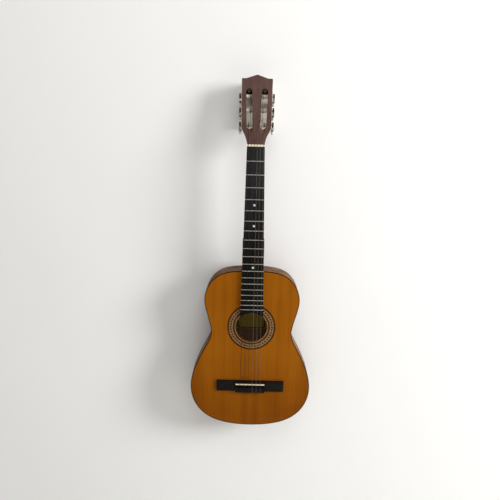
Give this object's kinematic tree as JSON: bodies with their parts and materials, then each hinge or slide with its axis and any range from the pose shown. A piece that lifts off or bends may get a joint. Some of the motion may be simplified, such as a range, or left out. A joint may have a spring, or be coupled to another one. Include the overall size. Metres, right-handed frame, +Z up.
{
  "type": "classical guitar on wall hanger",
  "caption": "Classical guitar with slotted head, geared tuners, hollow body and round soundhole, hung by its head on two sleeved pegs of an arched wall block.",
  "frame": {"origin": "on the back face of the hanger's wall plate, at mid height, in the guitar's plane of symmetry", "axes": "+Z up along the neck; +Y out of the plate's back face, into the wall; +X to the right as seen from the front"},
  "size_m": [0.3326, 0.1085, 0.9573],
  "materials": {
    "plate_pale": "pale painted wood",
    "bracket_steel": "black coated steel",
    "sleeve_rubber": "matt black rubber",
    "screw_steel": "plain steel",
    "top_wood": "orange-toned spruce under gloss lacquer",
    "rim_wood": "dark red-brown wood under gloss lacquer",
    "binding_wood": "dark edging under lacquer",
    "inner_wood": "bare pale wood",
    "neck_wood": "mahogany-toned wood under satin lacquer",
    "head_wood": "reddish rosewood veneer",
    "board_wood": "dark hardwood, oiled",
    "bridge_wood": "black-brown hardwood",
    "band_inlay": "tan wood inlay",
    "dark_inlay": "dark wood inlay",
    "dot_pearl": "pearly plastic",
    "nut_cream": "cream synthetic bone",
    "fret_metal": "nickel silver",
    "treble_nylon": "clear nylon",
    "bass_wound": "silvered winding on nylon",
    "label_paper": "plain olive paper",
    "tuner_metal": "nickel-plated steel",
    "roller_cream": "cream plastic",
    "button_pearl": "pearly plastic"
  },
  "bodies": {
    "hanger": {"wall_plate": "plate_pale", "hanger_bracket": "bracket_steel", "peg_sleeves": "sleeve_rubber", "bracket_screws": "screw_steel"},
    "guitar": {"soundboard": "top_wood", "rosette_beads": "dark_inlay", "rosette_band": "band_inlay", "rosette_rings": "dark_inlay", "top_binding": "binding_wood", "side_left": "rim_wood", "side_right": "rim_wood", "back_binding": "binding_wood", "back_plate": "rim_wood", "end_blocks": "inner_wood", "linings": "inner_wood", "soundboard_braces": "inner_wood", "back_braces": "inner_wood", "label": "label_paper", "neck": "neck_wood", "head_veneer": "head_wood", "fingerboard": "board_wood", "position_dots": "dot_pearl", "frets": "fret_metal", "nut": "nut_cream", "bridge": "bridge_wood", "saddle": "nut_cream", "string_1": "treble_nylon", "string_2": "treble_nylon", "string_3": "treble_nylon", "string_4": "bass_wound", "string_5": "bass_wound", "string_6": "bass_wound", "tuner_plates": "tuner_metal", "tuner_screws": "tuner_metal"},
    "knob_1": {"button_1": "button_pearl", "worm_1": "tuner_metal"},
    "spool_1": {"roller_1": "roller_cream", "gear_1": "tuner_metal"},
    "knob_2": {"button_2": "button_pearl", "worm_2": "tuner_metal"},
    "spool_2": {"roller_2": "roller_cream", "gear_2": "tuner_metal"},
    "knob_3": {"button_3": "button_pearl", "worm_3": "tuner_metal"},
    "spool_3": {"roller_3": "roller_cream", "gear_3": "tuner_metal"},
    "knob_4": {"button_4": "button_pearl", "worm_4": "tuner_metal"},
    "spool_4": {"roller_4": "roller_cream", "gear_4": "tuner_metal"},
    "knob_5": {"button_5": "button_pearl", "worm_5": "tuner_metal"},
    "spool_5": {"roller_5": "roller_cream", "gear_5": "tuner_metal"},
    "knob_6": {"button_6": "button_pearl", "worm_6": "tuner_metal"},
    "spool_6": {"roller_6": "roller_cream", "gear_6": "tuner_metal"}
  },
  "joints": [
    {"name": "guitar_lift", "type": "slide", "parent": "hanger", "child": "guitar", "axis": [0, -0.9763, 0.2164], "range_m": [0, 0.12]},
    {"name": "knob_1_turn", "type": "hinge", "parent": "guitar", "child": "knob_1", "pos_m": [0.04157, -0.05332, -0.07048], "axis": [0, 0.9763, -0.2164], "continuous": true},
    {"name": "spool_1_turn", "type": "hinge", "parent": "guitar", "child": "spool_1", "pos_m": [0.018, -0.0749, -0.05464], "axis": [1, 0, 0], "continuous": true},
    {"name": "knob_2_turn", "type": "hinge", "parent": "guitar", "child": "knob_2", "pos_m": [0.04223, -0.04553, -0.03534], "axis": [0, 0.9763, -0.2164], "continuous": true},
    {"name": "spool_2_turn", "type": "hinge", "parent": "guitar", "child": "spool_2", "pos_m": [0.018, -0.06711, -0.01949], "axis": [1, 0, 0], "continuous": true},
    {"name": "knob_3_turn", "type": "hinge", "parent": "guitar", "child": "knob_3", "pos_m": [0.04289, -0.03774, -0.00019], "axis": [0, 0.9763, -0.2164], "continuous": true},
    {"name": "spool_3_turn", "type": "hinge", "parent": "guitar", "child": "spool_3", "pos_m": [0.018, -0.05932, 0.01566], "axis": [1, 0, 0], "continuous": true},
    {"name": "knob_4_turn", "type": "hinge", "parent": "guitar", "child": "knob_4", "pos_m": [-0.04289, -0.03774, -0.00019], "axis": [0, 0.9763, -0.2164], "continuous": true},
    {"name": "spool_4_turn", "type": "hinge", "parent": "guitar", "child": "spool_4", "pos_m": [-0.018, -0.05932, 0.01566], "axis": [1, 0, 0], "continuous": true},
    {"name": "knob_5_turn", "type": "hinge", "parent": "guitar", "child": "knob_5", "pos_m": [-0.04223, -0.04553, -0.03534], "axis": [0, 0.9763, -0.2164], "continuous": true},
    {"name": "spool_5_turn", "type": "hinge", "parent": "guitar", "child": "spool_5", "pos_m": [-0.018, -0.06711, -0.01949], "axis": [1, 0, 0], "continuous": true},
    {"name": "knob_6_turn", "type": "hinge", "parent": "guitar", "child": "knob_6", "pos_m": [-0.04157, -0.05332, -0.07048], "axis": [0, 0.9763, -0.2164], "continuous": true},
    {"name": "spool_6_turn", "type": "hinge", "parent": "guitar", "child": "spool_6", "pos_m": [-0.018, -0.0749, -0.05464], "axis": [1, 0, 0], "continuous": true}
  ],
  "couplings": [
    {"joint": "spool_1_turn", "follows": "knob_1_turn", "ratio": 0.071429},
    {"joint": "spool_2_turn", "follows": "knob_2_turn", "ratio": 0.071429},
    {"joint": "spool_3_turn", "follows": "knob_3_turn", "ratio": 0.071429},
    {"joint": "spool_4_turn", "follows": "knob_4_turn", "ratio": -0.071429},
    {"joint": "spool_5_turn", "follows": "knob_5_turn", "ratio": -0.071429},
    {"joint": "spool_6_turn", "follows": "knob_6_turn", "ratio": -0.071429}
  ]
}
